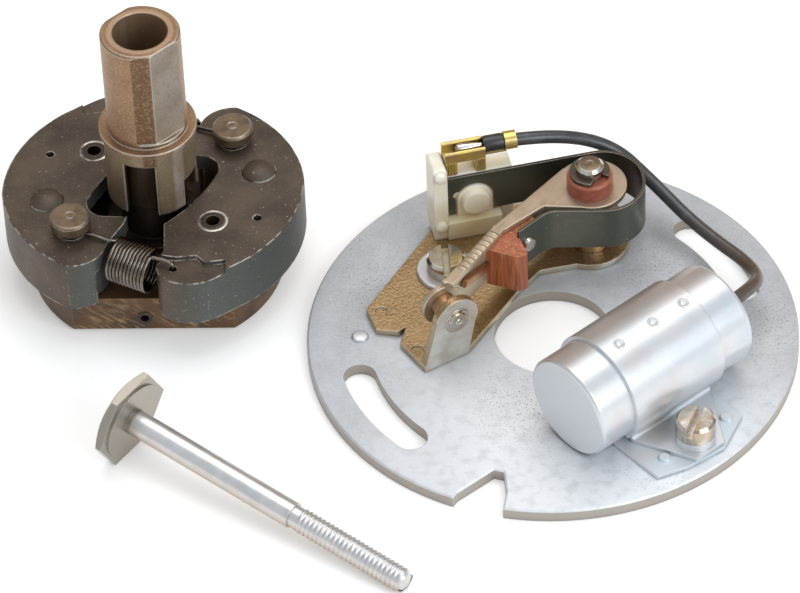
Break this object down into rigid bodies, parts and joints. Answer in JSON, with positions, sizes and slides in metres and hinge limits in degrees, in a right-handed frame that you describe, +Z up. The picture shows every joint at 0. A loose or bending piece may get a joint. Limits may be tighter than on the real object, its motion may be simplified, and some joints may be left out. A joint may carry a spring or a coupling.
{
  "type": "ignition distributor contact-breaker set",
  "caption": "Contact-breaker ignition set taken apart: round plate with contact points and condenser, centrifugal advance unit with flyweights and cam, and a long hex-head centre bolt.",
  "frame": {"origin": "centre of the breaker plate's centre hole, on the plate's underside, which lies on the bench", "axes": "+Z up from the bench, +X from the advance unit towards the breaker plate, +Y away from the viewer, towards the contact pivot"},
  "size_m": [0.1395, 0.1078, 0.0557],
  "materials": {
    "zinc_plated_plate": "dull mottled zinc plate",
    "bright_zinc": "bright zinc plate",
    "yellow_zinc": "yellow passivated zinc plate",
    "oxide_steel": "dark oxide with worn edges",
    "bronzed_cam_steel": "tempered, oiled steel",
    "blued_spring_steel": "blued",
    "copper": "bright copper",
    "brass": "tarnished brass",
    "fibre": "resin-bonded fibre",
    "nylon": "cream moulded nylon",
    "lead_sleeve": "matt vinyl sleeve",
    "seal_rubber": "matt",
    "contact_tungsten": "ground",
    "pressed_steel": "dull plated pressing"
  },
  "bodies": {
    "points_plate": {"breaker_plate": "zinc_plated_plate", "condenser_can": "bright_zinc", "condenser_seal": "seal_rubber", "condenser_strap": "bright_zinc", "condenser_seat": "zinc_plated_plate", "condenser_screw": "bright_zinc", "condenser_lock_washer": "bright_zinc", "condenser_lead": "lead_sleeve", "lock_screw": "bright_zinc", "lock_screw_washer": "bright_zinc"},
    "contact_set": {"contact_bracket": "yellow_zinc", "fixed_contact": "contact_tungsten", "pivot_post": "bright_zinc", "pivot_clip": "blued_spring_steel", "terminal_block": "nylon", "terminal_clip": "brass", "lead_crimp": "brass", "breaker_spring": "blued_spring_steel"},
    "breaker_arm_group": {"breaker_arm": "pressed_steel", "pivot_bush": "fibre", "moving_contact": "contact_tungsten", "conductor_strip": "copper", "rubbing_block": "fibre", "spring_rivet": "bright_zinc"},
    "advance_carrier": {"advance_base": "oxide_steel", "base_roll_pin": "bright_zinc", "spindle": "bright_zinc", "weight_posts": "oxide_steel", "advance_spring_front": "blued_spring_steel", "advance_spring_rear": "blued_spring_steel"},
    "right_weight": {"flyweight_right": "oxide_steel", "drive_pin_right": "bright_zinc", "weight_rivet_right": "oxide_steel"},
    "left_weight": {"flyweight_left": "oxide_steel", "drive_pin_left": "bright_zinc", "weight_rivet_left": "oxide_steel"},
    "cam_group": {"cam": "bronzed_cam_steel"},
    "bolt": {"centre_bolt": "bright_zinc"}
  },
  "joints": [
    {"name": "contact_adjust", "type": "hinge", "parent": "points_plate", "child": "contact_set", "pos_m": [0.0079, 0.02205, 0.0024], "axis": [0, 0, 1], "range_deg": [-2.5, 2.5], "deforming": ["condenser_lead"]},
    {"name": "arm_pivot", "type": "hinge", "parent": "contact_set", "child": "breaker_arm_group", "pos_m": [0.0079, 0.02205, 0.012], "axis": [0, 0, -1], "range_deg": [0, 5], "stiffness_Nm_per_rad": 0.05, "springref_deg": -20.05, "deforming": ["breaker_spring"]},
    {"name": "advance_lift", "type": "slide", "parent": "points_plate", "child": "advance_carrier", "axis": [0, 0, 1], "range_m": [0, 0.04]},
    {"name": "weight_right_swing", "type": "hinge", "parent": "advance_carrier", "child": "right_weight", "pos_m": [-0.05501, 0.03515, 0.014], "axis": [0, 0, 1], "range_deg": [0, 12], "stiffness_Nm_per_rad": 0.01, "springref_deg": -11.46, "deforming": ["advance_spring_front", "advance_spring_rear"]},
    {"name": "weight_left_swing", "type": "hinge", "parent": "advance_carrier", "child": "left_weight", "pos_m": [-0.08379, 0.01385, 0.014], "axis": [0, 0, 1], "range_deg": [0, 12]},
    {"name": "cam_turn", "type": "hinge", "parent": "advance_carrier", "child": "cam_group", "pos_m": [-0.0694, 0.0245, 0.03], "axis": [0, 0, 1], "range_deg": [0, 9]},
    {"name": "bolt_lift", "type": "slide", "parent": "points_plate", "child": "bolt", "axis": [0, 0, 1], "range_m": [0, 0.04]}
  ],
  "couplings": [
    {"joint": "weight_left_swing", "follows": "weight_right_swing", "ratio": 1},
    {"joint": "cam_turn", "follows": "weight_right_swing", "ratio": 0.719}
  ]
}
